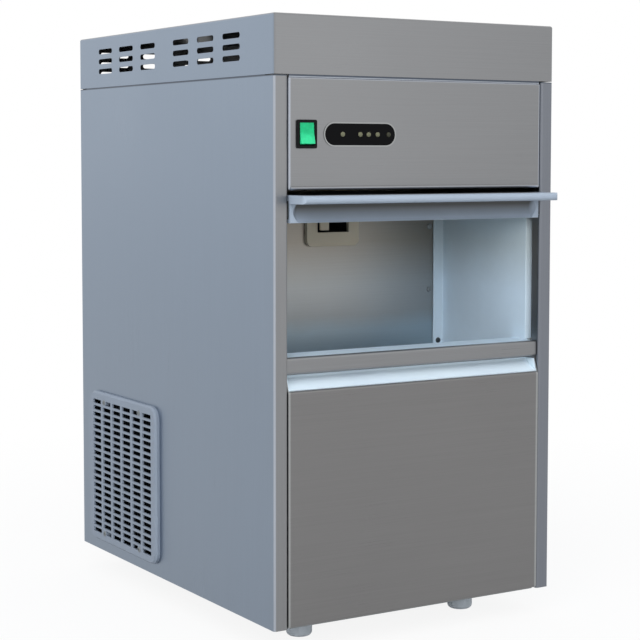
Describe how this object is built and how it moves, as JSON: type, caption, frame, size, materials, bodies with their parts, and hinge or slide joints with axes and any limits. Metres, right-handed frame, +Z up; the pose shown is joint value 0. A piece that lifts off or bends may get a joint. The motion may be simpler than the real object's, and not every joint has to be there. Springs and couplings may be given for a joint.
{
  "type": "flake ice machine",
  "caption": "Free-standing stainless flake ice machine with slotted top cover, rocker switch, lamp window, push-in door over a white bin, side air grille and auger evaporator.",
  "frame": {"origin": "on the floor, in the middle of the cabinet under its feet", "axes": "+Z up, -Y out of the front with the bin door, +X to the right seen from the front"},
  "size_m": [0.387, 0.577, 0.7019],
  "materials": {
    "stainless": "brushed",
    "galvanised_steel": "galvanised",
    "bright_steel": "polished",
    "white_plastic": "satin",
    "grey_plastic": "satin",
    "black_plastic": "gloss",
    "black_moulding": "matt",
    "lit_green": "translucent, lit",
    "lamp": "translucent",
    "copper": "drawn copper tube",
    "brass": "turned",
    "foam": "cut foam",
    "clear_hose": "smooth",
    "grey_enamel": "enamel",
    "black_enamel": "enamel",
    "rubber": "matt",
    "aluminium": "mill finish"
  },
  "bodies": {
    "cabinet": {"base_pan": "galvanised_steel", "foot_front_left": "white_plastic", "foot_front_right": "white_plastic", "foot_rear_left": "white_plastic", "foot_rear_right": "white_plastic", "left_side_panel": "stainless", "right_side_panel": "stainless", "back_panel": "stainless", "top_cover": "stainless", "control_panel": "stainless", "lower_front_panel": "stainless", "finger_grip": "white_plastic", "intake_grille": "grey_plastic", "grille_screws": "bright_steel", "bin_liner": "white_plastic", "bin_insulation": "foam", "bin_back_plate": "bright_steel", "bin_ceiling": "bright_steel", "ice_outlet_plate": "white_plastic", "flap_pin": "bright_steel", "bin_drain_pipe": "grey_plastic", "door_rail_left": "black_moulding", "door_rail_right": "black_moulding", "switch_bezel": "black_plastic", "indicator_window": "black_plastic", "indicator_lamps": "lamp", "control_box": "grey_plastic", "machine_shelf": "galvanised_steel", "gear_motor": "grey_enamel", "lower_bearing": "brass", "evaporator_tube": "bright_steel", "evaporator_coil": "copper", "evaporator_jacket": "foam", "ice_head": "bright_steel", "ice_spout": "white_plastic", "water_tank": "white_plastic", "float_valve": "white_plastic", "feed_hose": "clear_hose", "supply_hose": "clear_hose", "water_inlet": "brass", "compressor": "black_enamel", "compressor_grommets": "rubber", "condenser": "aluminium", "fan_shroud": "black_moulding", "fan_motor": "grey_enamel", "filter_drier": "copper", "discharge_pipe": "copper", "liquid_pipe": "copper", "suction_pipe": "copper", "cable_gland": "black_moulding", "drain_spigot": "white_plastic"},
    "door_carriage": {"door_pivot_rod": "bright_steel"},
    "door": {"door_skin": "stainless", "door_core": "white_plastic", "door_handle": "grey_plastic"},
    "rocker": {"switch_rocker": "lit_green"},
    "flap": {"bin_full_flap": "white_plastic"},
    "fan": {"fan_blade": "black_moulding"},
    "auger_screw": {"auger": "bright_steel"},
    "float": {"float_arm": "grey_plastic"}
  },
  "joints": [
    {"name": "door_slide", "type": "slide", "parent": "cabinet", "child": "door_carriage", "axis": [0, -1, 0], "range_m": [0, 0.151]},
    {"name": "door_swing", "type": "hinge", "parent": "door_carriage", "child": "door", "pos_m": [0, -0.1, 0.491], "axis": [1, 0, 0], "range_deg": [0, 90]},
    {"name": "switch_rock", "type": "hinge", "parent": "cabinet", "child": "rocker", "pos_m": [-0.1495, -0.253, 0.573], "axis": [1, 0, 0], "range_deg": [0, 16]},
    {"name": "flap_swing", "type": "hinge", "parent": "cabinet", "child": "flap", "pos_m": [0.002, -0.073, 0.505], "axis": [-1, 0, 0], "range_deg": [0, 15]},
    {"name": "fan_spin", "type": "hinge", "parent": "cabinet", "child": "fan", "pos_m": [-0.14, 0.1225, 0.1345], "axis": [1, 0, 0], "continuous": true},
    {"name": "auger_turn", "type": "hinge", "parent": "cabinet", "child": "auger_screw", "pos_m": [0.002, 0.02, 0.4], "axis": [0, 0, 1], "continuous": true},
    {"name": "float_swing", "type": "hinge", "parent": "cabinet", "child": "float", "pos_m": [0.135, 0.0545, 0.454], "axis": [-1, 0, 0], "range_deg": [0, 18]}
  ],
  "couplings": [
    {"joint": "door_swing", "follows": "door_slide", "rad_per_m": 10.403}
  ]
}
